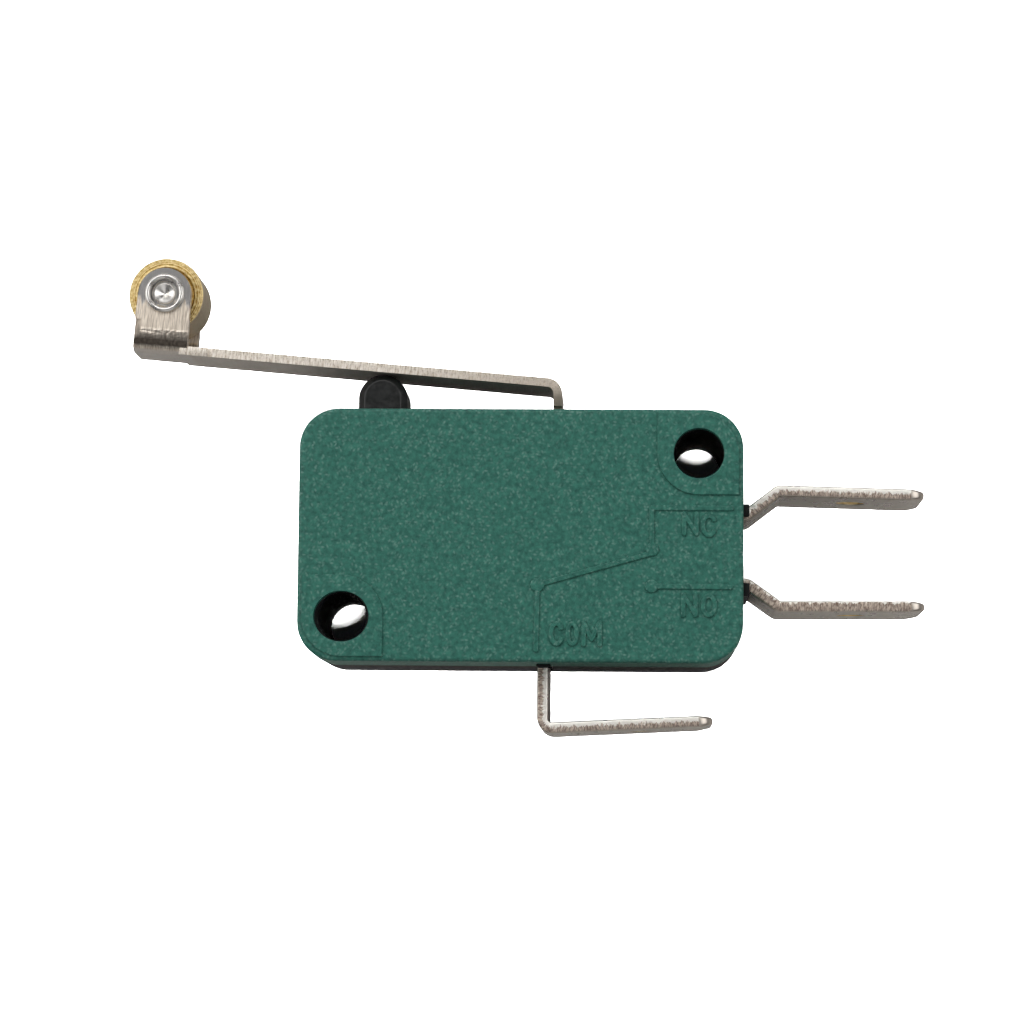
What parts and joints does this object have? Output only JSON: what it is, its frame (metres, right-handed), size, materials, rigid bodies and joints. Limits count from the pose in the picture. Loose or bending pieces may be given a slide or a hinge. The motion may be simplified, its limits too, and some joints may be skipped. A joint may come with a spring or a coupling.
{
  "type": "lever micro switch",
  "caption": "Snap-action micro switch with a long hinged roller lever, push-on tabs and two fixing holes.",
  "frame": {"origin": "centre of the two fixing holes, on the rear face that the switch lies on", "axes": "+X along the case towards the two side tabs, +Y up to the lever, +Z out of the green front face"},
  "size_m": [0.0506, 0.0302, 0.0103],
  "materials": {
    "black_moulding": "black thermoset moulding, half gloss",
    "green_moulding": "dark green glass-filled nylon, satin with fine speckle",
    "steel_strip": "rolled stainless strip, sheared edges",
    "turned_brass": "turned brass",
    "rivet_steel": "bright plated rivet",
    "plated_terminal": "nickel-plated brass strip, sheared edges",
    "silver_contact": "silver alloy",
    "spring_alloy": "copper alloy strip",
    "spring_wire": "spring wire"
  },
  "bodies": {
    "case": {"base_housing": "black_moulding", "front_cover": "green_moulding", "terminal_nc": "plated_terminal", "terminal_no": "plated_terminal", "terminal_com": "plated_terminal", "contact_nc": "silver_contact", "contact_no": "silver_contact"},
    "lever": {"lever": "steel_strip", "roller_pin": "rivet_steel"},
    "roller": {"roller": "turned_brass"},
    "plunger": {"plunger": "black_moulding"},
    "contact_arm": {"contact_arm": "spring_alloy", "moving_contact": "silver_contact"},
    "actuator_arm": {"actuator_arm": "spring_alloy"},
    "snap_spring": {"snap_spring": "spring_wire"}
  },
  "joints": [
    {"name": "lever_hinge", "type": "hinge", "parent": "case", "child": "lever", "pos_m": [0.00221, 0.0062, 0.00515], "axis": [0, 0, 1], "range_deg": [0, 8], "stiffness_Nm_per_rad": 0.1, "springref_deg": -2.86},
    {"name": "roller_spin", "type": "hinge", "parent": "lever", "child": "roller", "pos_m": [-0.02289, 0.01559, 0.00515], "axis": [0, 0, 1], "continuous": true},
    {"name": "plunger_slide", "type": "slide", "parent": "case", "child": "plunger", "axis": [0, -1, 0], "range_m": [0, 0.00157]},
    {"name": "actuator_hinge", "type": "hinge", "parent": "case", "child": "actuator_arm", "pos_m": [0.00122, -0.0013, 0.00515], "axis": [0, 0, 1], "range_deg": [0, 7.6]},
    {"name": "contact_arm_hinge", "type": "hinge", "parent": "case", "child": "contact_arm", "pos_m": [0.00162, 0.0001, 0.00515], "axis": [0, 0, 1], "range_deg": [-6, 0]},
    {"name": "spring_swing", "type": "hinge", "parent": "actuator_arm", "child": "snap_spring", "pos_m": [-0.00516, 0.00132, 0.00515], "axis": [0, 0, 1], "range_deg": [-5.4, 0], "deforming": ["snap_spring"]}
  ],
  "couplings": [
    {"joint": "plunger_slide", "follows": "lever_hinge", "m_per_rad": 0.01119},
    {"joint": "actuator_hinge", "follows": "lever_hinge", "ratio": 0.936},
    {"joint": "contact_arm_hinge", "follows": "lever_hinge", "ratio": -0.735},
    {"joint": "spring_swing", "follows": "lever_hinge", "ratio": -0.658}
  ]
}
